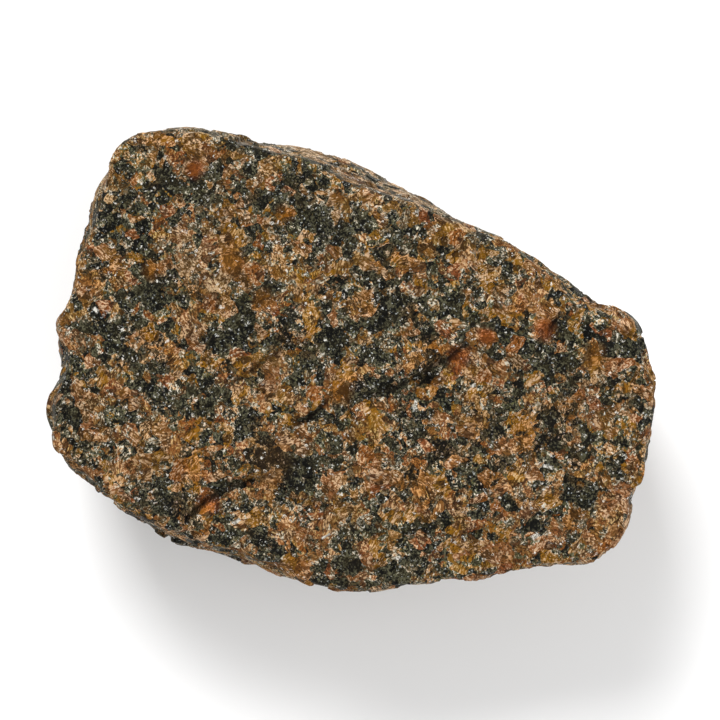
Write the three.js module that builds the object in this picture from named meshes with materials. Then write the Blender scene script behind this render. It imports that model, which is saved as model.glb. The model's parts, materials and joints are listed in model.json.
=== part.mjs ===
// A rough granite hand specimen, lying on its back with its broad broken face up.
// It is one piece of stone. Units are millimetres, +Z is up, +X runs to its blunt end
// and +Y to its long weathered side. The origin is under its middle, on the ground.
import * as THREE from "three";
import { ImprovedNoise } from "three/addons/math/ImprovedNoise.js";
import { mergeVertices } from "three/addons/utils/BufferGeometryUtils.js";

// Overall size of the finished stone
const LENGTH = 120;
const DEPTH = 92;
const THICKNESS = 52;

// The surface is found along rays from a point inside the stone
const HEART = new THREE.Vector3(0, 0, 24);
const RAY_DETAIL = 21;
const RAY_REACH = 1.7;
const RAY_STEPS = 90;
const BISECTIONS = 24;

// The rays gather towards the rim of the broad face, which is the stone's sharpest edge
const RIM_GATHER = 0.62;
const RIM_SPREAD = 0.3;

// The stone's widest outline from above, anticlockwise from the tip of the right shoulder
const OUTLINE = [
  [59.6, 0.6], [58.2, 6.8], [53.6, 10.6], [46.9, 10.8], [44.0, 13.6], [39.8, 17.8],
  [31.6, 23.0], [24.2, 26.4], [16.2, 31.9], [7.6, 36.5], [-0.6, 40.7], [-9.6, 43.4],
  [-20.5, 45.4], [-27.0, 46.7], [-33.4, 47.5], [-40.0, 46.6], [-45.4, 44.9], [-49.8, 38.4],
  [-54.4, 30.0], [-56.0, 20.6], [-57.6, 11.8], [-60.0, 6.6], [-57.9, 0.2], [-60.9, -6.8],
  [-61.6, -13.0], [-59.8, -17.8], [-55.6, -23.4], [-48.0, -30.2], [-39.0, -35.0],
  [-31.0, -37.6], [-18.4, -41.4], [-8.4, -45.4], [0.2, -46.2], [6.7, -45.0], [12.7, -44.8],
  [17.8, -43.6], [23.0, -44.3], [26.7, -43.5], [33.7, -41.8], [40.8, -39.8], [46.9, -40.3],
  [51.4, -38.0], [55.6, -32.6], [57.8, -26.4], [60.2, -18.4], [61.0, -14.9], [60.6, -5.9],
];
const OUTLINE_SAMPLES = 1440;

// The outline's notches and corners belong to the broken rim, and even out down the wall
const EVEN_BELOW = 24;
const FULL_ABOVE = 42;
const EVEN_UNDER_WIDEST = 8;
const FULL_OVER_WIDEST = 4;
const EVENING_SPREAD = 14;
const EVENING_SAMPLES = 9;

// How the side walls lean, by direction round the stone in degrees: the height where the
// stone is widest, and how far its wall has drawn in at the broken face and at the ground
const WALL_STATIONS = [
  { azimuth: 0, widest: 38, rimInset: 1.3, baseInset: 3 },
  { azimuth: 25, widest: 36, rimInset: 1.6, baseInset: 4 },
  { azimuth: 48, widest: 28, rimInset: 1.8, baseInset: 3 },
  { azimuth: 64, widest: 20, rimInset: 3.2, baseInset: 2 },
  { azimuth: 84, widest: 16, rimInset: 5.2, baseInset: 2 },
  { azimuth: 112, widest: 15, rimInset: 4.6, baseInset: 2 },
  { azimuth: 128, widest: 18, rimInset: 3.2, baseInset: 3 },
  { azimuth: 138, widest: 30, rimInset: 1.4, baseInset: 4 },
  { azimuth: 151, widest: 21, rimInset: 3.6, baseInset: 3 },
  { azimuth: 168, widest: 34, rimInset: 1.6, baseInset: 3 },
  { azimuth: 180, widest: 42, rimInset: 1.0, baseInset: 3 },
  { azimuth: 192, widest: 35, rimInset: 1.2, baseInset: 3 },
  { azimuth: 214, widest: 22, rimInset: 3.4, baseInset: 3 },
  { azimuth: 232, widest: 30, rimInset: 1.6, baseInset: 3 },
  { azimuth: 268, widest: 42, rimInset: 0.9, baseInset: 4 },
  { azimuth: 305, widest: 40, rimInset: 1.0, baseInset: 4 },
  { azimuth: 338, widest: 39, rimInset: 1.4, baseInset: 4 },
];
const WALL_BULGE = 1.35;

// The broad face is the lowest of a few nearly level planes: height over the heart's
// vertical line, and slope along X and Y
const FACE_PLANES = [
  { height: 50.6, slopeX: 0.012, slopeY: 0.018 },
  { height: 56.2, slopeX: -0.15, slopeY: 0.02 },
  { height: 55.4, slopeX: -0.02, slopeY: 0.16 },
  { height: 57.0, slopeX: 0.16, slopeY: 0.04 },
  { height: 55.6, slopeX: 0.07, slopeY: -0.1 },
];
const FACE_BLEND = 3.5;

// Fracture facets that cut the stone's flanks and underside: the direction that each one
// faces in degrees, below the level where it is negative, and its distance from the heart
const FRACTURE_FACETS = [
  { azimuth: 262, elevation: -12, distance: 41.0 },
  { azimuth: 300, elevation: -32, distance: 44.0 },
  { azimuth: 336, elevation: -36, distance: 42.8 },
  { azimuth: 3, elevation: -15, distance: 55.0 },
  { azimuth: 38, elevation: -31, distance: 42.0 },
  { azimuth: 74, elevation: -18, distance: 37.0 },
  { azimuth: 119, elevation: -27, distance: 46.5 },
  { azimuth: 151, elevation: -45, distance: 45.5 },
  { azimuth: 189, elevation: -21, distance: 55.0 },
  { azimuth: 219, elevation: -38, distance: 43.5 },
  { azimuth: 254, elevation: -61, distance: 29.4 },
  { azimuth: 82, elevation: -65, distance: 29.8 },
  { azimuth: 328, elevation: -73, distance: 28.8 },
  { azimuth: 172, elevation: -70, distance: 30.0 },
];
const RIM_ROUNDING = 1.5;
const EDGE_ROUNDING = 1.0;

// The underside is a rough joint surface that the ground plane cuts level where it rests
const UNDERSIDE_HEIGHT = -1.1;

// Ledges on the broad face, where one sheet of the break steps down to the next. Each
// falls on the right of its path, by its drop, and fades out over its reach
const LEDGES = [
  { path: [[5.0, -7.6], [12.6, -3.4], [20.8, 2.4], [27.0, 4.4]], drop: 2.1, reach: 9 },
  { path: [[-33.4, -32.0], [-28.6, -25.8], [-22.0, -21.6], [-11.6, -20.4]], drop: 2.0, reach: 8 },
  { path: [[-13.8, -14.6], [-8.0, -10.2], [-2.4, -6.0]], drop: 1.5, reach: 6 },
  { path: [[36.0, 4.8], [41.4, 9.4]], drop: 1.4, reach: 6 },
  { path: [[-25.4, -5.6], [-17.0, 0.8], [-9.4, 5.2]], drop: 1.1, reach: 7 },
  { path: [[-46.0, 25.0], [-38.0, 37.0], [-24.0, 40.6], [-6.0, 38.0]], drop: -1.2, reach: 6 },
];
const LEDGE_WIDTH = 1.1;
const LEDGE_FADE = 0.2;

// Scoops where flakes have sprung off: centre and radius of the ball that each one follows
const FLAKE_SCARS = [
  { centre: [50.5, 20.5, 47], radius: 10.2 },
  { centre: [-66.5, 0.8, 42], radius: 9.6 },
  { centre: [17.6, -53.5, 47], radius: 10.6 },
  { centre: [92.0, -52.0, 26], radius: 43 },
  { centre: [20.0, -84.0, 18], radius: 47 },
  { centre: [-36.0, -76.0, 12], radius: 43 },
  { centre: [-96.0, 24.0, 14], radius: 44 },
  { centre: [54.0, 62.0, 8], radius: 46 },
  { centre: [-24.0, 90.0, -6], radius: 48 },
];
const SCAR_EDGE = 1.0;

// Pits where single grains have dropped out of the broad face: place and width
const PITS = [
  { at: [49.2, -27.8], radius: 2.6, depth: 1.5 },
  { at: [-21.5, -13.0], radius: 3.2, depth: 0.9 },
  { at: [25.6, 25.4], radius: 3.0, depth: 0.8 },
  { at: [-4.4, 33.0], radius: 3.6, depth: 0.9 },
  { at: [-39.0, 5.6], radius: 2.8, depth: 0.8 },
  { at: [-12.6, -27.0], radius: 3.4, depth: 1.0 },
];

// Roughness of the stone: the size and height of its swells, lumps and grain facets
const SWELL = { size: 27, height: 1.25, shift: new THREE.Vector3(3.1, -7.4, 1.7) };
const LUMP = { size: 11, height: 0.75, shift: new THREE.Vector3(-4.6, 2.9, 8.3) };
const GRAIN = { size: 6.4, height: 0.42, tilt: 0.2, seam: 0.3, scatter: 0.4 };

// The long weathered side is smoother, between two directions and with soft ends
const WEATHERED = { from: 50, to: 138, soft: 10, smoothness: 0.6, startsInside: 1, fullOutside: 3 };

const noise = new ImprovedNoise();
const degrees = THREE.MathUtils.degToRad;
const clamp = THREE.MathUtils.clamp;
const smoothstep = THREE.MathUtils.smoothstep;

// Largest of two fields, with the edge between them rounded over a width
function roundedMax(a, b, width) {
  const overlap = Math.max(width - Math.abs(a - b), 0) / width;
  return Math.max(a, b) + (overlap * overlap * width) / 4;
}

// The outline's distance from the middle, by direction
const outlineRadius = (() => {
  const points = OUTLINE.map(([x, y]) => new THREE.Vector3(x, y, 0));
  const curve = new THREE.CatmullRomCurve3(points, true, "centripetal");
  const samples = curve.getPoints(OUTLINE_SAMPLES).map((point) => ({
    azimuth: Math.atan2(point.y, point.x),
    radius: Math.hypot(point.x, point.y),
  }));
  samples.sort((a, b) => a.azimuth - b.azimuth);
  return (azimuth) => {
    let low = 0;
    let high = samples.length - 1;
    if (azimuth <= samples[low].azimuth || azimuth >= samples[high].azimuth) {
      return samples[low].radius;
    }
    while (high - low > 1) {
      const middle = (low + high) >> 1;
      if (samples[middle].azimuth <= azimuth) low = middle;
      else high = middle;
    }
    const gap = samples[high].azimuth - samples[low].azimuth;
    const share = gap > 0 ? (azimuth - samples[low].azimuth) / gap : 0;
    return THREE.MathUtils.lerp(samples[low].radius, samples[high].radius, share);
  };
})();

// The wall's lean in one direction, eased between the two nearest stations
function wallLean(azimuth) {
  const turn = (THREE.MathUtils.radToDeg(azimuth) + 360) % 360;
  const count = WALL_STATIONS.length;
  const after = WALL_STATIONS.findIndex((station) => station.azimuth > turn);
  const next = WALL_STATIONS[after < 0 ? 0 : after];
  const last = WALL_STATIONS[((after < 0 ? count : after) + count - 1) % count];
  const span = (next.azimuth - last.azimuth + 360) % 360;
  const share = smoothstep((turn - last.azimuth + 360) % 360, 0, span);
  const eased = (key) => THREE.MathUtils.lerp(last[key], next[key], share);
  return { widest: eased("widest"), rimInset: eased("rimInset"), baseInset: eased("baseInset") };
}

// The outline's distance with its notches and corners averaged away
const evenedRadii = Array.from({ length: 360 }, (_, turn) => {
  let sum = 0;
  for (let i = 0; i < EVENING_SAMPLES; i++) {
    const offset = EVENING_SPREAD * ((2 * i) / (EVENING_SAMPLES - 1) - 1);
    const azimuth = degrees(turn + offset);
    sum += outlineRadius(Math.atan2(Math.sin(azimuth), Math.cos(azimuth)));
  }
  return sum / EVENING_SAMPLES;
});
function evenedRadius(azimuth) {
  const turn = (THREE.MathUtils.radToDeg(azimuth) + 360) % 360;
  const before = Math.floor(turn) % 360;
  const after = (before + 1) % 360;
  return THREE.MathUtils.lerp(evenedRadii[before], evenedRadii[after], turn - Math.floor(turn));
}

// How far a point stands outside the side wall
function wallField(point, azimuth) {
  const { widest, rimInset, baseInset } = wallLean(azimuth);
  const even = Math.min(EVEN_BELOW, widest - EVEN_UNDER_WIDEST);
  const full = Math.min(FULL_ABOVE, widest + FULL_OVER_WIDEST);
  const detail = smoothstep(point.z, even, full);
  const radius = THREE.MathUtils.lerp(evenedRadius(azimuth), outlineRadius(azimuth), detail);
  const above = Math.max(point.z - widest, 0) / (THICKNESS - widest);
  const below = Math.max(widest - point.z, 0) / widest;
  const inset = rimInset * above ** WALL_BULGE + baseInset * below ** WALL_BULGE;
  return Math.hypot(point.x, point.y) - radius + inset;
}

// Signed step of one ledge at a place on the broad face: raised on the left of its path
function ledgeStep(ledge, x, y) {
  let nearest = Infinity;
  let side = 0;
  let fade = 1;
  const lengths = ledge.path.slice(1).map(([bx, by], i) => {
    const [ax, ay] = ledge.path[i];
    return Math.hypot(bx - ax, by - ay);
  });
  const total = lengths.reduce((sum, length) => sum + length, 0);
  let before = 0;
  lengths.forEach((length, i) => {
    const [ax, ay] = ledge.path[i];
    const [bx, by] = ledge.path[i + 1];
    const ux = (bx - ax) / length;
    const uy = (by - ay) / length;
    const along = (x - ax) * ux + (y - ay) * uy;
    const held = clamp(along, 0, length);
    const distance = Math.hypot(x - ax - ux * held, y - ay - uy * held);
    if (distance < nearest) {
      nearest = distance;
      side = (y - ay) * ux - (x - ax) * uy;
      const run = (before + along) / total;
      fade = smoothstep(run, -LEDGE_FADE, LEDGE_FADE);
      fade *= 1 - smoothstep(run, 1 - LEDGE_FADE, 1 + LEDGE_FADE);
    }
    before += length;
  });
  const crossing = Math.tanh(side / LEDGE_WIDTH);
  return 0.5 * ledge.drop * crossing * Math.exp(-nearest / ledge.reach) * fade;
}

// Height of the broad broken face over a place on the ground
function faceHeight(x, y) {
  let height = Infinity;
  for (const plane of FACE_PLANES) {
    const level = plane.height + plane.slopeX * x + plane.slopeY * y;
    height = height === Infinity ? level : -roundedMax(-height, -level, FACE_BLEND);
  }
  for (const ledge of LEDGES) height += ledgeStep(ledge, x, y);
  for (const pit of PITS) {
    const away = Math.hypot(x - pit.at[0], y - pit.at[1]) / pit.radius;
    height -= pit.depth * Math.exp(-(away ** 2));
  }
  return height;
}

// Repeatable random number from -1 to 1 for one grain and one of its properties
function grainRandom(i, j, k, property) {
  const mixed = Math.sin(i * 127.1 + j * 311.7 + k * 74.7 + property * 53.3) * 43758.5453;
  return 2 * (mixed - Math.floor(mixed)) - 1;
}

// Relief of interlocking grains, each broken off at its own height and tilt
function grainRelief(point) {
  const cell = [point.x, point.y, point.z].map((value) => value / GRAIN.size);
  const home = cell.map(Math.floor);
  const nearest = { distance: Infinity, relief: 0 };
  const second = { distance: Infinity, relief: 0 };
  for (let i = home[0] - 1; i <= home[0] + 1; i++) {
    for (let j = home[1] - 1; j <= home[1] + 1; j++) {
      for (let k = home[2] - 1; k <= home[2] + 1; k++) {
        const offset = [i, j, k].map((index, axis) => {
          const centre = index + 0.5 + GRAIN.scatter * grainRandom(i, j, k, axis);
          return cell[axis] - centre;
        });
        const distance = Math.hypot(...offset);
        if (distance >= second.distance) continue;
        let tilt = 0;
        offset.forEach((value, axis) => {
          tilt += value * grainRandom(i, j, k, axis + 3);
        });
        const relief = GRAIN.height * grainRandom(i, j, k, 6) + GRAIN.tilt * GRAIN.size * tilt;
        if (distance < nearest.distance) {
          Object.assign(second, nearest);
          Object.assign(nearest, { distance, relief });
        } else {
          Object.assign(second, { distance, relief });
        }
      }
    }
  }
  const own = smoothstep(second.distance - nearest.distance, 0, GRAIN.seam);
  return THREE.MathUtils.lerp((nearest.relief + second.relief) / 2, nearest.relief, own);
}

// Swells, lumps and grains of the rough surface, in millimetres above its mean
function surfaceRelief(point) {
  const swell = point.clone().divideScalar(SWELL.size).add(SWELL.shift);
  const lump = point.clone().divideScalar(LUMP.size).add(LUMP.shift);
  return (
    SWELL.height * noise.noise(swell.x, swell.y, swell.z) +
    LUMP.height * noise.noise(lump.x, lump.y, lump.z) +
    grainRelief(point)
  );
}

// How weathered and smooth the wall is in one direction, from 0 to 1
function weathering(azimuth) {
  const turn = (THREE.MathUtils.radToDeg(azimuth) + 360) % 360;
  const { from, to, soft } = WEATHERED;
  return smoothstep(turn, from - soft, from + soft) * (1 - smoothstep(turn, to - soft, to + soft));
}

const facetNormals = FRACTURE_FACETS.map(({ azimuth, elevation }) => {
  const level = Math.cos(degrees(elevation));
  return new THREE.Vector3(
    Math.cos(degrees(azimuth)) * level,
    Math.sin(degrees(azimuth)) * level,
    Math.sin(degrees(elevation)),
  );
});

// How far a point stands outside the stone: negative inside, zero on its surface
function stoneField(point) {
  const azimuth = Math.atan2(point.y, point.x);
  const wall = wallField(point, azimuth);
  const face = point.z - faceHeight(point.x, point.y);
  let field = roundedMax(wall, face, RIM_ROUNDING);
  field = roundedMax(field, UNDERSIDE_HEIGHT - point.z, EDGE_ROUNDING);
  FRACTURE_FACETS.forEach(({ distance }, i) => {
    const beyond = point.clone().sub(HEART).dot(facetNormals[i]) - distance;
    field = roundedMax(field, beyond, EDGE_ROUNDING);
  });
  for (const { centre, radius } of FLAKE_SCARS) {
    const inScar = radius - Math.hypot(point.x - centre[0], point.y - centre[1], point.z - centre[2]);
    field = roundedMax(field, inScar, SCAR_EDGE);
  }
  const onWall = smoothstep(wall - face, -WEATHERED.startsInside, WEATHERED.fullOutside);
  const smoothness = WEATHERED.smoothness * weathering(azimuth) * onWall;
  field -= surfaceRelief(point) * (1 - smoothness);
  return Math.max(field, -point.z);
}

// The surface along one ray from the heart, coming in from outside
function castToSurface(direction) {
  const at = (share) => direction.clone().multiplyScalar(share).add(HEART);
  let outside = RAY_REACH;
  while (outside > 0 && stoneField(at(outside)) > 0) outside -= RAY_REACH / RAY_STEPS;
  let inside = outside;
  outside += RAY_REACH / RAY_STEPS;
  for (let i = 0; i < BISECTIONS; i++) {
    const middle = (inside + outside) / 2;
    if (stoneField(at(middle)) > 0) outside = middle;
    else inside = middle;
  }
  return at(inside);
}

// Turns one corner of the unit icosahedron towards the rim of the broad face
function gatherToRim(corner, stretch) {
  const turn = Math.atan2(corner.y, corner.x);
  const climb = Math.asin(clamp(corner.z, -1, 1));
  const azimuth = Math.atan2(Math.sin(turn) * stretch.y, Math.cos(turn) * stretch.x);
  const reach = outlineRadius(azimuth) - wallLean(azimuth).rimInset;
  const rim = new THREE.Vector3(Math.cos(azimuth) * reach, Math.sin(azimuth) * reach, 0);
  rim.z = faceHeight(rim.x, rim.y) - HEART.z;
  rim.divide(stretch);
  const rimClimb = Math.atan2(rim.z, Math.hypot(rim.x, rim.y));
  const away = climb - rimClimb;
  const gathered = rimClimb + away * (1 - RIM_GATHER * Math.exp(-((away / RIM_SPREAD) ** 2)));
  corner.set(Math.cos(gathered) * Math.cos(turn), Math.cos(gathered) * Math.sin(turn), Math.sin(gathered));
}

// Rays go out through the corners of a finely divided icosahedron, stretched to the
// stone's own proportions so that its triangles come out alike in size
function graniteStone() {
  const rays = new THREE.IcosahedronGeometry(1, RAY_DETAIL);
  rays.deleteAttribute("normal");
  rays.deleteAttribute("uv");
  const geometry = mergeVertices(rays, 1e-5);
  const corners = geometry.getAttribute("position");
  const stretch = new THREE.Vector3(LENGTH / 2, DEPTH / 2, THICKNESS / 2);
  const ray = new THREE.Vector3();
  for (let i = 0; i < corners.count; i++) {
    ray.fromBufferAttribute(corners, i);
    gatherToRim(ray, stretch);
    ray.multiply(stretch);
    const point = castToSurface(ray);
    corners.setXYZ(i, point.x, point.y, Math.max(point.z, 0));
  }
  fitToSize(geometry);
  geometry.computeVertexNormals();
  return geometry;
}

// Brings the stone to its exact size, with the origin under the middle of its box
function fitToSize(geometry) {
  geometry.computeBoundingBox();
  const { min, max } = geometry.boundingBox;
  geometry.translate(-(min.x + max.x) / 2, -(min.y + max.y) / 2, -min.z);
  geometry.scale(LENGTH / (max.x - min.x), DEPTH / (max.y - min.y), THICKNESS / (max.z - min.z));
}

const granite = new THREE.MeshStandardMaterial({ color: 0x69563e, roughness: 0.85, metalness: 0 });

const stone = new THREE.Mesh(graniteStone(), granite);
stone.name = "granite_stone";

const specimen = new THREE.Group();
specimen.add(stone);

export default specimen;
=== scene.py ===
import json

import bpy
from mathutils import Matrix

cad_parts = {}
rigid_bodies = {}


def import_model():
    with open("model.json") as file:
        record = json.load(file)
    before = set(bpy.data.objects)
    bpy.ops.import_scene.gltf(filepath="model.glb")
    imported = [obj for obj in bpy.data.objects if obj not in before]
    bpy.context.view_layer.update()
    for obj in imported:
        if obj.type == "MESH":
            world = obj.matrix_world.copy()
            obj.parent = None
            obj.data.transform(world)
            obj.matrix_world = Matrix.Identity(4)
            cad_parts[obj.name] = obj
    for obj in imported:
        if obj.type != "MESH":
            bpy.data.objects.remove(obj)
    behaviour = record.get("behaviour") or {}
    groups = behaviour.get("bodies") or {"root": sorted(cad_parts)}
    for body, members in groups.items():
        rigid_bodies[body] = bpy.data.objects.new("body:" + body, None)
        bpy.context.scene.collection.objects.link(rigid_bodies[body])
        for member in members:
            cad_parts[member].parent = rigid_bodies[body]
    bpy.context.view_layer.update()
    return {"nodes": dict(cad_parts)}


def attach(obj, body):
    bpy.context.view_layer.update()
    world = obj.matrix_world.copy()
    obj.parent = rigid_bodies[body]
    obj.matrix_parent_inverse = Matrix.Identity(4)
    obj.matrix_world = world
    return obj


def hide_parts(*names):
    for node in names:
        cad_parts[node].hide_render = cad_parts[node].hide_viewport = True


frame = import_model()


# The stone is one lump of medium-grained granite, knocked off a larger block. Its broad
# upper side is a fresh break that steps down in thin sheets, its long far side is an old
# weathered skin, and its ends and underside broke along flat joints.
bpy.ops.object.select_all(action="DESELECT")
rough_form = frame["nodes"]["granite_stone"]
rough_form.select_set(True)
bpy.context.view_layer.objects.active = rough_form
bpy.ops.object.duplicate()
stone = bpy.context.active_object
stone.name = "rough_granite"
bpy.ops.object.parent_clear(type="CLEAR_KEEP_TRANSFORM")

bpy.ops.object.mode_set(mode="EDIT")
bpy.ops.mesh.select_all(action="SELECT")
bpy.ops.mesh.remove_doubles(threshold=0.000001)
bpy.ops.object.mode_set(mode="OBJECT")

# A fine even skin over the rough form, spaced in metres, with the form's own facets worn off
SKIN_SPACING = 0.00063
WEAR_STRENGTH = 0.5
WEAR_PASSES = 9

skin = stone.modifiers.new("even_skin", "REMESH")
skin.mode = "VOXEL"
skin.voxel_size = SKIN_SPACING
bpy.ops.object.modifier_apply(modifier=skin.name)
wear = stone.modifiers.new("worn_facets", "SMOOTH")
wear.factor = WEAR_STRENGTH
wear.iterations = WEAR_PASSES
bpy.ops.object.modifier_apply(modifier=wear.name)


def add(tree, kind, sockets, **settings):
    """Adds a node with its settings, and links or sets its sockets"""
    made = tree.nodes.new(kind)
    for name, value in settings.items():
        setattr(made, name, value)
    for name, value in sockets.items():
        if isinstance(value, bpy.types.NodeSocket):
            tree.links.new(value, made.inputs[name])
        else:
            made.inputs[name].default_value = value
    return made


def number(tree, operation, *values):
    """A Math node's result"""
    return add(tree, "ShaderNodeMath", dict(enumerate(values)), operation=operation).outputs[0]


def vector(tree, operation, *values):
    """A Vector Math node's result as a vector"""
    return add(tree, "ShaderNodeVectorMath", dict(enumerate(values)), operation=operation).outputs[0]


def measure(tree, operation, *values):
    """A Vector Math node's result as a number"""
    return add(tree, "ShaderNodeVectorMath", dict(enumerate(values)), operation=operation).outputs[1]


def resize(tree, arrow, size):
    """A vector made longer or shorter"""
    return add(tree, "ShaderNodeVectorMath", {0: arrow, "Scale": size}, operation="SCALE").outputs[0]


def times(tree, first, second):
    """Two numbers multiplied"""
    return number(tree, "MULTIPLY", first, second)


def plus(tree, first, second):
    """Two numbers added"""
    return number(tree, "ADD", first, second)


def weigh(tree, *parts):
    """The sum of values, each times its weight"""
    total = 0.0
    for value, weight in reversed(parts):
        total = number(tree, "MULTIPLY_ADD", value, weight, total)
    return total


def swing(tree, value, height):
    """A value from 0 to 1 turned into one that swings round nothing by a height in all"""
    return times(tree, number(tree, "SUBTRACT", value, 0.5), height)


def ease(tree, value, low, high, start=0.0, end=1.0):
    """A value eased from start to end as it goes from low to high"""
    sockets = {"Value": value, "From Min": low, "From Max": high, "To Min": start, "To Max": end}
    return add(tree, "ShaderNodeMapRange", sockets, interpolation_type="SMOOTHSTEP").outputs[0]


# The middle of a random colour, and how many millimetres are in a metre
MIDDLE = (0.5, 0.5, 0.5)
MILLIMETRES = 1000.0


def cloudy(tree, place, size, detail=2.0, shift=0.0):
    """Soft noise with features of one size, moved aside so that no two patterns are alike"""
    moved = vector(tree, "ADD", place, (shift, shift * 0.7, -shift))
    sockets = {"Vector": moved, "Scale": 1.0 / size, "Detail": detail, "Roughness": 0.55}
    return add(tree, "ShaderNodeTexNoise", sockets).outputs


def ragged(tree, place, wave, amount, shift=0.0):
    """A place pushed about by noise, so that the grains get ragged borders"""
    push = vector(tree, "SUBTRACT", cloudy(tree, place, wave, shift=shift)["Color"], MIDDLE)
    return vector(tree, "ADD", place, resize(tree, push, amount))


def grains(tree, place, size):
    """Grains of one size: each one's random colour and numbers, and the slope of its top"""
    cells = add(tree, "ShaderNodeTexVoronoi", {"Vector": place, "Scale": 1.0 / size})
    draw = add(tree, "ShaderNodeSeparateXYZ", {0: cells.outputs["Color"]})
    offset = vector(tree, "SUBTRACT", place, cells.outputs["Position"])
    lean = vector(tree, "SUBTRACT", cells.outputs["Color"], MIDDLE)
    slope = measure(tree, "DOT_PRODUCT", offset, lean)
    return {"colour": cells.outputs["Color"], "random": draw.outputs, "slope": slope}


def sheets(tree, place):
    """Level sheets in the flanks, from 0 in the hollows between them to 1"""
    flattened = vector(tree, "MULTIPLY", place, (0.25, 0.25, 1.0))
    return cloudy(tree, flattened, 4.2, detail=3.0, shift=23.0)["Fac"]


# The sizes in millimetres of chips, grains, flakes and laths, and how far their borders
# wander over waves of what length
CHIP = 8.0
BIG_GRAIN = 3.0
SMALL_GRAIN = 1.4
FLAKE = 0.62
LATH = 0.24
BORDER_WAVE = 3.0
BORDER_WANDER = 2.0
EDGE_WAVE = 0.9
EDGE_WANDER = 0.7

broken = bpy.data.node_groups.new("broken_surface", "GeometryNodeTree")
broken.interface.new_socket("Geometry", in_out="INPUT", socket_type="NodeSocketGeometry")
broken.interface.new_socket("Geometry", in_out="OUTPUT", socket_type="NodeSocketGeometry")
start = broken.nodes.new("NodeGroupInput")
place = resize(broken, broken.nodes.new("GeometryNodeInputPosition").outputs[0], MILLIMETRES)
normal = broken.nodes.new("GeometryNodeInputNormal").outputs["Normal"]
facing_up = add(broken, "ShaderNodeSeparateXYZ", {0: normal}).outputs["Z"]
split_place = add(broken, "ShaderNodeSeparateXYZ", {0: place})
turn = number(broken, "ARCTAN2", split_place.outputs["Y"], split_place.outputs["X"])
level_place = vector(broken, "MULTIPLY", place, (1.0, 1.0, 0.0))
wander = ragged(broken, place, BORDER_WAVE, BORDER_WANDER)
big = grains(broken, wander, BIG_GRAIN)

# How weathered each place is: the long far side, between two directions in radians, and old
# patches on the other flanks. The old skin ends along the borders of grains, by their luck.
FAR_SIDE_STARTS = (0.85, 0.95)
FAR_SIDE_ENDS = (2.3, 2.4)
TURN_LUCK = 0.22
OLD_PATCH = 34.0
OLD_PATCH_EDGE = (0.56, 0.6)
OLD_PATCH_SHARE = 0.7
PATCH_LUCK = 0.12
FLANK_EDGE = (0.3, 0.6)

luck = number(broken, "SUBTRACT", big["random"][1], 0.5)
ragged_turn = number(broken, "MULTIPLY_ADD", luck, TURN_LUCK, turn)
far_side = times(broken, ease(broken, ragged_turn, *FAR_SIDE_STARTS),
                 ease(broken, ragged_turn, *FAR_SIDE_ENDS, 1.0, 0.0))
patches = cloudy(broken, place, OLD_PATCH, detail=1.0, shift=5.0)["Fac"]
ragged_patches = number(broken, "MULTIPLY_ADD", luck, PATCH_LUCK, patches)
old_patches = ease(broken, ragged_patches, *OLD_PATCH_EDGE, 0.0, OLD_PATCH_SHARE)
flank = ease(broken, facing_up, *FLANK_EDGE, 1.0, 0.0)
old = times(broken, number(broken, "MAXIMUM", far_side, old_patches), flank)

# Ledges of the upper side in millimetres: start, bend, end, drop and how far it fades out.
# Each is a step with a crack at its foot, both fading towards its ends. It follows the
# borders of the grains, so it runs in short jags.
LEDGES = [
    ((2.0, -7.4), (12.2, -3.6), (24.0, 5.0), 1.4, 6.0),
    ((-34.0, -32.6), (-27.6, -23.4), (-13.0, -21.6), 1.2, 6.0),
    ((-13.6, -14.4), (-8.0, -10.2), (-2.6, -6.2), 1.0, 4.0),
    ((36.0, 5.0), (39.0, 7.2), (41.6, 9.6), 0.9, 4.0),
    ((-25.0, -5.4), (-17.0, 0.6), (-9.6, 5.0), 0.7, 4.0),
    ((-13.0, 8.6), (-9.0, 12.4), (-6.0, 13.6), -0.6, 3.0),
]
LEDGE_JAG = (0.7, 0.7, 0.0)
LEDGE_WAVE = 2.0
LEDGE_WANDER = 0.9
LEDGE_EDGE = 0.25
FADE_BEFORE_END = 4.0
FADE_PAST_END = 1.0
CRACK_DEPTH = 0.5
HALF_CRACK = 0.5

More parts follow.
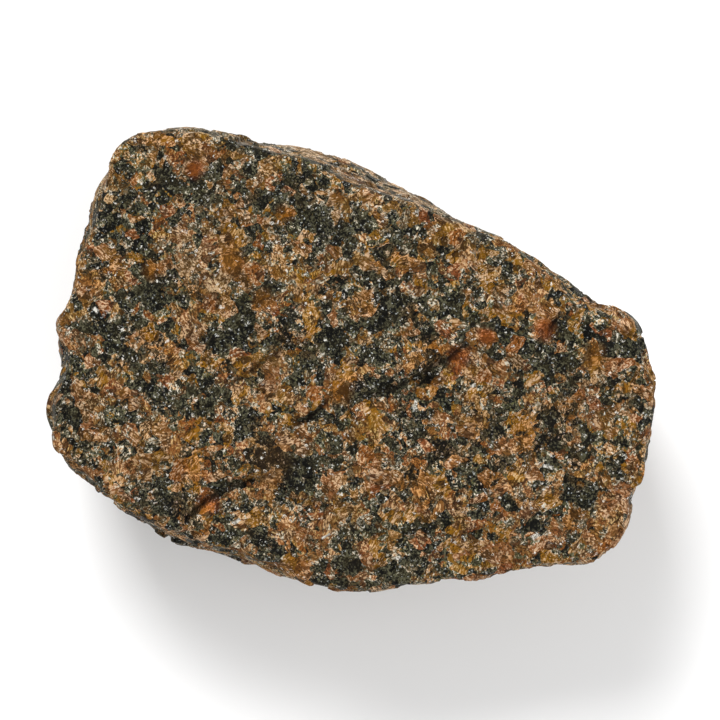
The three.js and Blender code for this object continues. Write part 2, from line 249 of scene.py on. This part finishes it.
upward = ease(broken, facing_up, 0.45, 0.85)
grain_shift = vector(broken, "SUBTRACT", big["colour"], MIDDLE)
jag = vector(broken, "MULTIPLY", grain_shift, LEDGE_JAG)
wandering = vector(broken, "ADD", ragged(broken, level_place, LEDGE_WAVE, LEDGE_WANDER, shift=9.0), jag)
step_height = 0.0
crack_shade = 0.0
for ledge_start, bend, ledge_end, drop, reach in LEDGES:
    run = ((ledge_end[0] - ledge_start[0]), (ledge_end[1] - ledge_start[1]))
    length = (run[0] ** 2 + run[1] ** 2) ** 0.5
    forward = (run[0] / length, run[1] / length, 0.0)
    uphill = (-forward[1], forward[0], 0.0)
    path = add(broken, "GeometryNodeCurveQuadraticBezier", {
        "Start": (*ledge_start, 0.0), "Middle": (*bend, 0.0), "End": (*ledge_end, 0.0)})
    line = add(broken, "GeometryNodeCurveToMesh", {"Curve": path.outputs[0]})
    nearest = add(broken, "GeometryNodeProximity",
                  {"Geometry": line.outputs[0], "Sample Position": wandering}, target_element="EDGES")
    away = vector(broken, "SUBTRACT", wandering, nearest.outputs["Position"])
    side = measure(broken, "DOT_PRODUCT", away, uphill)
    from_start = vector(broken, "SUBTRACT", wandering, (*ledge_start, 0.0))
    gone = measure(broken, "DOT_PRODUCT", from_start, forward)
    ends = times(broken, ease(broken, gone, -FADE_PAST_END, FADE_BEFORE_END),
                 ease(broken, gone, length - FADE_BEFORE_END, length + FADE_PAST_END, 1.0, 0.0))
    here = times(broken, ends, upward)
    edge = number(broken, "TANH", number(broken, "DIVIDE", side, LEDGE_EDGE))
    fade = number(broken, "EXPONENT", number(broken, "DIVIDE", nearest.outputs["Distance"], -reach))
    step = times(broken, times(broken, edge, fade), 0.5 * drop)
    step_height = number(broken, "MULTIPLY_ADD", step, here, step_height)
    foot = number(broken, "DIVIDE", plus(broken, side, HALF_CRACK), HALF_CRACK)
    crack_and_shade = number(broken, "EXPONENT", times(broken, times(broken, foot, foot), -1.0))
    crack_here = times(broken, times(broken, crack_and_shade, here), min(1.0, abs(drop)))
    crack_shade = number(broken, "MAXIMUM", crack_here, crack_shade)

# Every chip and every grain broke off at its own height and tilt, and no more than this
# many millimetres from the form. The flanks are more rounded, in lumps and sheets.
MOST_RELIEF = 0.5
CHIP_TILT = 0.3
BIG_TILT = 0.4
BIG_STEP = 0.34
SMALL_TILT = 0.6
SMALL_STEP = 0.4
LUMP = 7.0
LUMP_HEIGHT = 1.2
FLANK_LUMP = 5.6
FLANK_LUMP_HEIGHT = 1.6
SHEET_HEIGHT = 2.4

chips = grains(broken, wander, CHIP)
small = grains(broken, ragged(broken, wander, EDGE_WAVE, EDGE_WANDER, shift=4.0), SMALL_GRAIN)
big_height = number(broken, "MULTIPLY_ADD", big["slope"], BIG_TILT,
                    swing(broken, big["random"][2], BIG_STEP))
small_height = number(broken, "MULTIPLY_ADD", small["slope"], SMALL_TILT,
                      swing(broken, small["random"][2], SMALL_STEP))
lumps = swing(broken, cloudy(broken, place, LUMP, detail=4.0, shift=2.0)["Fac"], LUMP_HEIGHT)
grain_height = plus(broken, plus(broken, big_height, small_height), lumps)
calmer = ease(broken, facing_up, 0.6, 0.95, 0.4, 1.0)
rounded = swing(broken, cloudy(broken, place, FLANK_LUMP, detail=3.0, shift=6.0)["Fac"], FLANK_LUMP_HEIGHT)
rounded = plus(broken, swing(broken, sheets(broken, place), SHEET_HEIGHT), rounded)
rounded = times(broken, rounded, ease(broken, facing_up, 0.4, 0.85, 1.0, 0.0))
roughness = number(broken, "MULTIPLY_ADD", grain_height, calmer, rounded)
roughness = plus(broken, roughness, times(broken, chips["slope"], CHIP_TILT))
limited = number(broken, "TANH", number(broken, "DIVIDE", roughness, MOST_RELIEF))
height = plus(broken, times(broken, limited, MOST_RELIEF), step_height)
height = number(broken, "MULTIPLY_ADD", crack_shade, -CRACK_DEPTH, height)
push_out = resize(broken, normal, times(broken, height, 1.0 / MILLIMETRES))
roughened = add(broken, "GeometryNodeSetPosition", {"Geometry": start.outputs[0], "Offset": push_out})
with_age = add(broken, "GeometryNodeStoreNamedAttribute",
               {"Geometry": roughened.outputs[0], "Name": "weathering", "Value": old}, data_type="FLOAT")
# The crack's share is kept for the colour, which paints shade into the cracks
with_cracks = add(broken, "GeometryNodeStoreNamedAttribute",
                  {"Geometry": with_age.outputs[0], "Name": "crack_and_shade", "Value": crack_shade}, data_type="FLOAT")

# Where the stone rests it is level with the ground
final_place = broken.nodes.new("GeometryNodeInputPosition").outputs[0]
split_final = add(broken, "ShaderNodeSeparateXYZ", {0: final_place})
grounded = add(broken, "ShaderNodeCombineXYZ", {
    "X": split_final.outputs["X"], "Y": split_final.outputs["Y"],
    "Z": number(broken, "MAXIMUM", split_final.outputs["Z"], 0.0)})
resting = add(broken, "GeometryNodeSetPosition",
              {"Geometry": with_cracks.outputs[0], "Position": grounded.outputs[0]})
add(broken, "NodeGroupOutput", {0: resting.outputs[0]})

relief = stone.modifiers.new("broken_surface", "NODES")
relief.node_group = broken
bpy.ops.object.modifier_apply(modifier=relief.name)
bpy.ops.object.shade_smooth()

# Granite: salmon feldspar, grey quartz, pale plagioclase and clustered black-green mica
granite = bpy.data.materials.new("rough_granite")
granite.use_nodes = True
tree = granite.node_tree
shader = tree.nodes["Principled BSDF"]
place = resize(tree, tree.nodes.new("ShaderNodeTexCoord").outputs["Object"], MILLIMETRES)
weathering = add(tree, "ShaderNodeAttribute", {}, attribute_name="weathering").outputs["Fac"]
crack_and_shade = add(tree, "ShaderNodeAttribute", {}, attribute_name="crack_and_shade").outputs["Fac"]


def paint(tree, share, under, over, mode="MIX"):
    """One colour laid over another by a share"""
    made = tree.nodes.new("ShaderNodeMix")
    made.data_type = "RGBA"
    made.blend_type = mode
    for socket, value in ((made.inputs["Factor"], share), (made.inputs[6], under), (made.inputs[7], over)):
        if isinstance(value, bpy.types.NodeSocket):
            tree.links.new(value, socket)
        else:
            socket.default_value = value
    return made.outputs[2]


def screen_colour(red, green, blue):
    """A colour as it looks on a screen, from 0 to 255, for a shader"""
    linear = [((c / 255 + 0.055) / 1.055) ** 2.4 if c > 10 else c / 3295 for c in (red, green, blue)]
    return (*linear, 1.0)


def squeeze(tree, place, direction, keep):
    """A place squeezed along a direction, so that grains in it stretch out that way"""
    reach = measure(tree, "DOT_PRODUCT", place, direction)
    return vector(tree, "ADD", place, resize(tree, direction, times(tree, reach, keep - 1.0)))


wander = ragged(tree, place, BORDER_WAVE, BORDER_WANDER)
big = grains(tree, wander, BIG_GRAIN)
small = grains(tree, ragged(tree, wander, EDGE_WAVE, EDGE_WANDER, shift=4.0), SMALL_GRAIN)
crumbled = ragged(tree, place, 0.5, 0.4, shift=7.0)
flakes = grains(tree, crumbled, FLAKE)

# Each big grain is split along its own run into thin laths, and crumbled into sugary specks.
# The tone makes light and dark of them.
LATH_SQUEEZE = 0.28
SPECK = 0.5

lath_run = vector(tree, "NORMALIZE", vector(tree, "SUBTRACT", big["colour"], MIDDLE))
laths = grains(tree, squeeze(tree, ragged(tree, place, 0.7, 0.3, shift=19.0), lath_run, LATH_SQUEEZE), LATH)
speck = add(tree, "ShaderNodeTexNoise", {
    "Vector": place, "Scale": 1.0 / SPECK, "Detail": 3.0, "Roughness": 0.7}).outputs["Fac"]
tone = weigh(tree, (flakes["random"][1], 0.2), (laths["random"][1], 0.52), (small["random"][2], 0.28))

# Places on the upper side where dark minerals gather, with a pull below nothing, or feldspar
# does: centre, radius and pull. They run deep into the stone, so that they show on its
# sloping rim too.
GATHERINGS = [
    ((-21.1, -12.7), 3.0, -0.5), ((45.3, -27.1), 3.0, -0.5), ((-16.0, 31.0), 4.0, -0.3),
    ((-6.0, 28.0), 4.0, -0.3), ((-10.0, -23.0), 3.6, -0.35), ((8.6, 9.4), 3.6, -0.35),
    ((-4.1, 3.9), 3.4, -0.35), ((-25.6, 3.9), 3.8, -0.35), ((-31.0, 21.5), 5.5, 0.05),
    ((50.6, -34.2), 4.5, 0.3), ((3.7, -12.7), 4.0, 0.3), ((-38.0, 34.0), 4.0, -0.25),
]
UPPER_LEVEL = 50.5
DEEP = (1.0, 1.0, 0.25)
CLUSTER = 11.0
CLUSTER_PULL = 0.7
CRUMBLE = 0.4


def spread(tree, deep_place, centre, radius, inner, outer, most):
    """The share of something that spreads from a place on the upper side, deep into the stone"""
    away = measure(tree, "DISTANCE", deep_place, (*centre, UPPER_LEVEL * DEEP[2]))
    return ease(tree, away, inner * radius, outer * radius, most, 0.0)


deep_place = vector(tree, "MULTIPLY", wander, DEEP)
pull = swing(tree, cloudy(tree, place, CLUSTER, detail=1.0, shift=3.0)["Fac"], CLUSTER_PULL)
for centre, radius, strength in GATHERINGS:
    pull = plus(tree, pull, spread(tree, deep_place, centre, radius, 0.4, 1.2, strength))
mixed = weigh(tree, (big["random"][0], 0.5), (small["random"][0], 0.36), (flakes["random"][2], 0.14))
mineral = plus(tree, plus(tree, mixed, pull), swing(tree, speck, CRUMBLE))

# Feldspar, from golden brown far up the picture to salmon low down, in patches wider than
# its grains, with straw laths and dark seams
GOLDEN_BROWN = screen_colour(116, 79, 28)
SALMON_BROWN = screen_colour(136, 88, 50)
HONEY = screen_colour(146, 102, 20)
OLIVE = screen_colour(118, 92, 42)
BRICK = screen_colour(134, 68, 36)
DARK_HONEY = screen_colour(66, 46, 20)
DARK_SALMON = screen_colour(78, 52, 34)
STRAW = screen_colour(226, 196, 130)
PEACH = screen_colour(228, 188, 141)
PINK_CREAM = screen_colour(230, 196, 160)
FELDSPAR_SEAM = screen_colour(40, 26, 12)
HUE_DRIFT = (0.0, -0.0025, 0.0)

drift = measure(tree, "DOT_PRODUCT", place, HUE_DRIFT)
hue = plus(tree, drift, cloudy(tree, place, 7.0, detail=3.0, shift=31.0)["Fac"])
warm = paint(tree, ease(tree, hue, 0.38, 0.62), GOLDEN_BROWN, SALMON_BROWN)
warm = paint(tree, ease(tree, big["random"][1], 0.66, 0.72, 0.0, 0.85), warm, HONEY)
warm = paint(tree, ease(tree, small["random"][0], 0.8, 0.85, 0.0, 0.35), warm, OLIVE)
warm = paint(tree, ease(tree, big["random"][2], 0.8, 0.86, 0.0, 0.6), warm, BRICK)
shade = paint(tree, ease(tree, big["random"][2], 0.4, 0.6), DARK_HONEY, DARK_SALMON)
warm = paint(tree, ease(tree, small["random"][1], 0.55, 0.85, 0.0, 0.85), warm, shade)
light = paint(tree, ease(tree, small["random"][2], 0.3, 0.7), STRAW, PEACH)
light = paint(tree, ease(tree, big["random"][0], 0.6, 0.9), light, PINK_CREAM)
feldspar = paint(tree, ease(tree, tone, 0.52, 0.85, 0.0, 0.95), warm, light)
feldspar = paint(tree, ease(tree, tone, 0.48, 0.16, 0.0, 0.85), feldspar, FELDSPAR_SEAM)

# Patches of the upper side where the feldspar is crumbly and pale: centre and radius
PALE_PATCHES = [((-31.0, 21.0), 5.5), ((-26.0, 15.0), 3.0), ((-47.0, 31.0), 3.5), ((18.0, 12.0), 3.0)]
CRUMB_SHADE = screen_colour(98, 72, 38)
CREAM = screen_colour(238, 214, 176)

crumbs = paint(tree, ease(tree, tone, 0.34, 0.7), CRUMB_SHADE, CREAM)
by_grain = ease(tree, small["random"][1], 0.3, 0.6, 1.0, 0.3)
for centre, radius in PALE_PATCHES:
    share = times(tree, spread(tree, deep_place, centre, radius, 0.3, 1.2, 0.65), by_grain)
    feldspar = paint(tree, share, feldspar, crumbs)

# Quartz and plagioclase, smoky or grey-green with white crumbs
SMOKY = screen_colour(60, 54, 34)
BUFF = screen_colour(124, 106, 78)
GREY_GREEN = screen_colour(92, 94, 66)
WHITE_CRUMB = screen_colour(238, 232, 214)
QUARTZ_SEAM = screen_colour(36, 31, 17)

pale = paint(tree, small["random"][1], SMOKY, BUFF)
pale = paint(tree, ease(tree, big["random"][1], 0.55, 0.75), pale, GREY_GREEN)
pale = paint(tree, ease(tree, tone, 0.52, 0.85, 0.0, 0.95), pale, WHITE_CRUMB)
pale = paint(tree, ease(tree, tone, 0.48, 0.2, 0.0, 0.85), pale, QUARTZ_SEAM)

# Mica and hornblende, black-green books of small flakes with bluish glitter
MICA_FLAKE = 0.3
MICA_BLACK = screen_colour(13, 13, 9)
BRONZE = screen_colour(47, 43, 26)
MICA_SHEEN = screen_colour(102, 101, 80)
MICA_SEAM = screen_colour(7, 7, 5)
GLITTER = screen_colour(206, 214, 216)

books = grains(tree, crumbled, MICA_FLAKE)
gloss = weigh(tree, (books["random"][1], 0.5), (laths["random"][1], 0.22), (small["random"][2], 0.28))
mica = paint(tree, ease(tree, small["random"][1], 0.4, 0.95), MICA_BLACK, BRONZE)
mica = paint(tree, ease(tree, gloss, 0.5, 0.82, 0.0, 0.9), mica, MICA_SHEEN)
mica = paint(tree, ease(tree, gloss, 0.46, 0.26, 0.0, 0.85), mica, MICA_SEAM)
glitter = times(tree, ease(tree, books["random"][2], 0.94, 0.97, 0.0, 0.9), ease(tree, speck, 0.46, 0.6))
mica = paint(tree, glitter, mica, GLITTER)

# Where one mineral gives way to the next
PALE_FROM = (0.405, 0.43)
FELDSPAR_FROM = (0.49, 0.515)

colour = paint(tree, ease(tree, mineral, *PALE_FROM), mica, pale)
colour = paint(tree, ease(tree, mineral, *FELDSPAR_FROM), colour, feldspar)

# Rust and ochre that water left in the pores: centre, radius and colour. Wider films of
# ochre and earth lie over the stone, and traces of iron warm all of it a little.
OCHRE = screen_colour(134, 86, 22)
RUST = screen_colour(164, 86, 34)
EARTH = screen_colour(70, 50, 26)
STAINS = [
    ((-23.4, 19.5), 2.8, OCHRE), ((-17.4, 11.7), 2.4, OCHRE), ((-13.3, 28.5), 2.2, OCHRE),
    ((-2.1, -6.2), 2.8, OCHRE), ((-39.2, 17.6), 2.2, OCHRE), ((47.6, 1.0), 2.6, OCHRE),
    ((-30.4, 37.2), 1.9, RUST), ((21.0, 0.6), 2.6, RUST), ((37.9, 5.9), 2.4, RUST),
    ((26.4, 4.6), 2.0, RUST), ((-28.0, -28.0), 2.4, RUST), ((-15.8, -19.5), 5.0, EARTH),
]
STAIN_TINT = 0.7
STAIN_COVER = 0.25
IRON_TINT = (0.98, 0.95, 0.905, 1.0)

for centre, radius, stain in STAINS:
    share = spread(tree, deep_place, centre, radius, 0.3, 1.3, 1.0)
    colour = paint(tree, times(tree, share, STAIN_TINT), colour, stain, "COLOR")
    colour = paint(tree, times(tree, share, STAIN_COVER), colour, stain)
blush = ease(tree, cloudy(tree, place, 9.0, detail=3.0, shift=17.0)["Fac"], 0.54, 0.68, 0.0, 0.5)
colour = paint(tree, blush, colour, OCHRE, "COLOR")
film = ease(tree, cloudy(tree, place, 15.0, detail=4.0, shift=27.0)["Fac"], 0.5, 0.66, 0.0, 0.25)
less_on_mica = ease(tree, mineral, 0.4, 0.5, 0.2, 1.0)
colour = paint(tree, times(tree, film, less_on_mica), colour, EARTH)
colour = paint(tree, 1.0, colour, IRON_TINT, "MULTIPLY")

# The weathered skin is duller and greyer, and dark between its sheets. The cracks are painted dark brown:
# painted shade at the foot of each step, with a little dirt.
DULL_SHADE = screen_colour(112, 94, 68)
DULL_LIGHT = screen_colour(208, 186, 158)
SHEET_SHADE = screen_colour(36, 31, 22)
PAINTED_CRACK_SHADE = screen_colour(26, 18, 9)
CRACK_SHADE_COVER = 0.85

hollow = plus(tree, swing(tree, mixed, 0.24), sheets(tree, place))
dull = paint(tree, ease(tree, tone, 0.34, 0.66), DULL_SHADE, DULL_LIGHT)
dull = paint(tree, ease(tree, hollow, 0.44, 0.58), SHEET_SHADE, dull)
worn_share = ease(tree, mineral, 0.4, 0.5, 0.3, 0.5)
colour = paint(tree, times(tree, weathering, worn_share), colour, dull)
colour = paint(tree, times(tree, crack_and_shade, CRACK_SHADE_COVER), colour, PAINTED_CRACK_SHADE)

# Cleavage flakes on the upper side with a painted glint, pale partly in their own colour: centre, direction,
# half length and half width
PAINTED_GLINT_FLAKES = [
    ((-22.4, -31.6), (0.82, 0.57), 0.8, 0.34), ((-4.9, -34.5), (0.87, 0.5), 1.0, 0.24),
    ((38.6, -20.9), (0.97, -0.25), 1.0, 0.36), ((12.6, -8.8), (0.2, 0.98), 1.0, 0.34),
    ((24.0, -5.0), (0.9, 0.3), 0.4, 0.3), ((-50.0, 9.8), (0.7, -0.7), 0.6, 0.4),
    ((-44.7, 5.9), (0.9, 0.4), 0.35, 0.3), ((36.1, -34.5), (0.8, 0.6), 0.8, 0.5),
    ((9.2, -38.8), (0.9, 0.4), 0.5, 0.3),
]
GLINT_FLAKE_GREY = screen_colour(128, 124, 112)
GLINT_FLAKE_WHITE = screen_colour(236, 232, 222)

upper = ease(tree, add(tree, "ShaderNodeSeparateXYZ", {0: place}).outputs["Z"], 40.0, 44.0)
flake_glint_colour = paint(tree, ease(tree, laths["random"][0], 0.2, 0.7), GLINT_FLAKE_GREY, GLINT_FLAKE_WHITE)
for centre, direction, half_length, half_width in PAINTED_GLINT_FLAKES:
    from_centre = vector(tree, "SUBTRACT", crumbled, (*centre, 0.0))
    lengthwise = number(tree, "ABSOLUTE", measure(tree, "DOT_PRODUCT", from_centre, (*direction, 0.0)))
    crosswise = number(tree, "ABSOLUTE", measure(
        tree, "DOT_PRODUCT", from_centre, (-direction[1], direction[0], 0.0)))
    beyond = number(tree, "MAXIMUM", number(tree, "DIVIDE", lengthwise, half_length),
                    number(tree, "DIVIDE", crosswise, half_width))
    share = times(tree, upper, ease(tree, beyond, 0.7, 1.2, 0.9, 0.0))
    colour = paint(tree, share, colour, flake_glint_colour)

# A few small cleavage faces catch the light
GLINT = screen_colour(244, 240, 230)
GLINT_COVER = 0.85
MICA_ROUGHNESS = 0.5
FELDSPAR_ROUGHNESS = 0.8
GLINT_ROUGHNESS = 0.25
SPECULAR = 0.1

glint = times(tree, ease(tree, flakes["random"][0], 0.955, 0.97), ease(tree, speck, 0.46, 0.56))
glint = times(tree, glint, ease(tree, laths["random"][0], 0.3, 0.6))
colour = paint(tree, times(tree, glint, GLINT_COVER), colour, GLINT)
tree.links.new(colour, shader.inputs["Base Color"])
matt = ease(tree, mineral, 0.3, 0.5, MICA_ROUGHNESS, FELDSPAR_ROUGHNESS)
tree.links.new(ease(tree, glint, 0.0, 1.0, matt, GLINT_ROUGHNESS), shader.inputs["Roughness"])
shader.inputs["Specular IOR Level"].default_value = SPECULAR

# The finest relief, in millimetres: tilted grains, flakes and laths, and sugary specks. It
# is half worn off the weathered skin.
BIG_BUMP = 0.2
SMALL_BUMP = 0.35
FLAKE_BUMP = 0.8
LATH_BUMP = 0.8
SPECK_BUMP = 0.5
LEFT_BY_WEATHER = 0.5

fine_height = weigh(tree, (big["slope"], BIG_BUMP), (small["slope"], SMALL_BUMP),
                    (flakes["slope"], FLAKE_BUMP), (laths["slope"], LATH_BUMP), (speck, SPECK_BUMP))
fine_height = times(tree, fine_height, ease(tree, weathering, 0.0, 1.0, 1.0, LEFT_BY_WEATHER))
bump = add(tree, "ShaderNodeBump", {"Strength": 1.0, "Distance": 1.0 / MILLIMETRES, "Height": fine_height})
tree.links.new(bump.outputs[0], shader.inputs["Normal"])

stone.data.materials.clear()
stone.data.materials.append(granite)
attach(stone, "root")
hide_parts("granite_stone")


# The table is one wide sheet of plain matt white, as in a studio
bpy.ops.object.select_all(action="DESELECT")
bpy.ops.mesh.primitive_plane_add(size=6.0, location=(0.0, 0.0, 0.0))
table = bpy.context.active_object
table.name = "table"
paper = bpy.data.materials.new("table_paper")
paper.use_nodes = True
paper_shader = paper.node_tree.nodes["Principled BSDF"]
paper_shader.inputs["Base Color"].default_value = (0.9, 0.9, 0.9, 1.0)
paper_shader.inputs["Roughness"].default_value = 0.9
paper_shader.inputs["Specular IOR Level"].default_value = 0.1
table.data.materials.append(paper)


# Soft studio light: one large lamp over the top of the picture, a little to the left, and
# two wider and weaker ones over its right and its foot
def hang_lamp(name, place, size, power):
    """A square lamp that faces the stone"""
    bpy.ops.object.select_all(action="DESELECT")
    bpy.ops.object.light_add(type="AREA", location=place)
    lamp = bpy.context.active_object
    lamp.name = name
    lamp.data.size = size
    lamp.data.energy = power
    lamp.rotation_euler = lamp.location.to_track_quat("Z", "Y").to_euler()


hang_lamp("key_lamp", (-0.35, 0.95, 1.2), 0.6, 22.0)
hang_lamp("fill_lamp", (1.2, -0.4, 1.0), 1.6, 12.0)
hang_lamp("low_lamp", (0.3, -1.4, 0.9), 1.6, 5.0)

studio = bpy.data.worlds.new("studio")
studio.use_nodes = True
sky = studio.node_tree.nodes["Background"]
sky.inputs["Color"].default_value = (1.0, 1.0, 1.0, 1.0)
sky.inputs["Strength"].default_value = 0.55
bpy.context.scene.world = studio
bpy.context.scene.view_settings.view_transform = "Standard"

# The camera hangs straight over the broad face, with a long lens, and looks down
CAMERA_PLACE = (0.00176, 0.0, 1.042)
LENS = 253.6
SENSOR = 36.0

bpy.ops.object.camera_add(location=CAMERA_PLACE, rotation=(0.0, 0.0, 0.0))
camera = bpy.context.active_object
camera.data.sensor_width = SENSOR
camera.data.lens = LENS
camera.data.clip_start = 0.05
bpy.context.scene.camera = camera
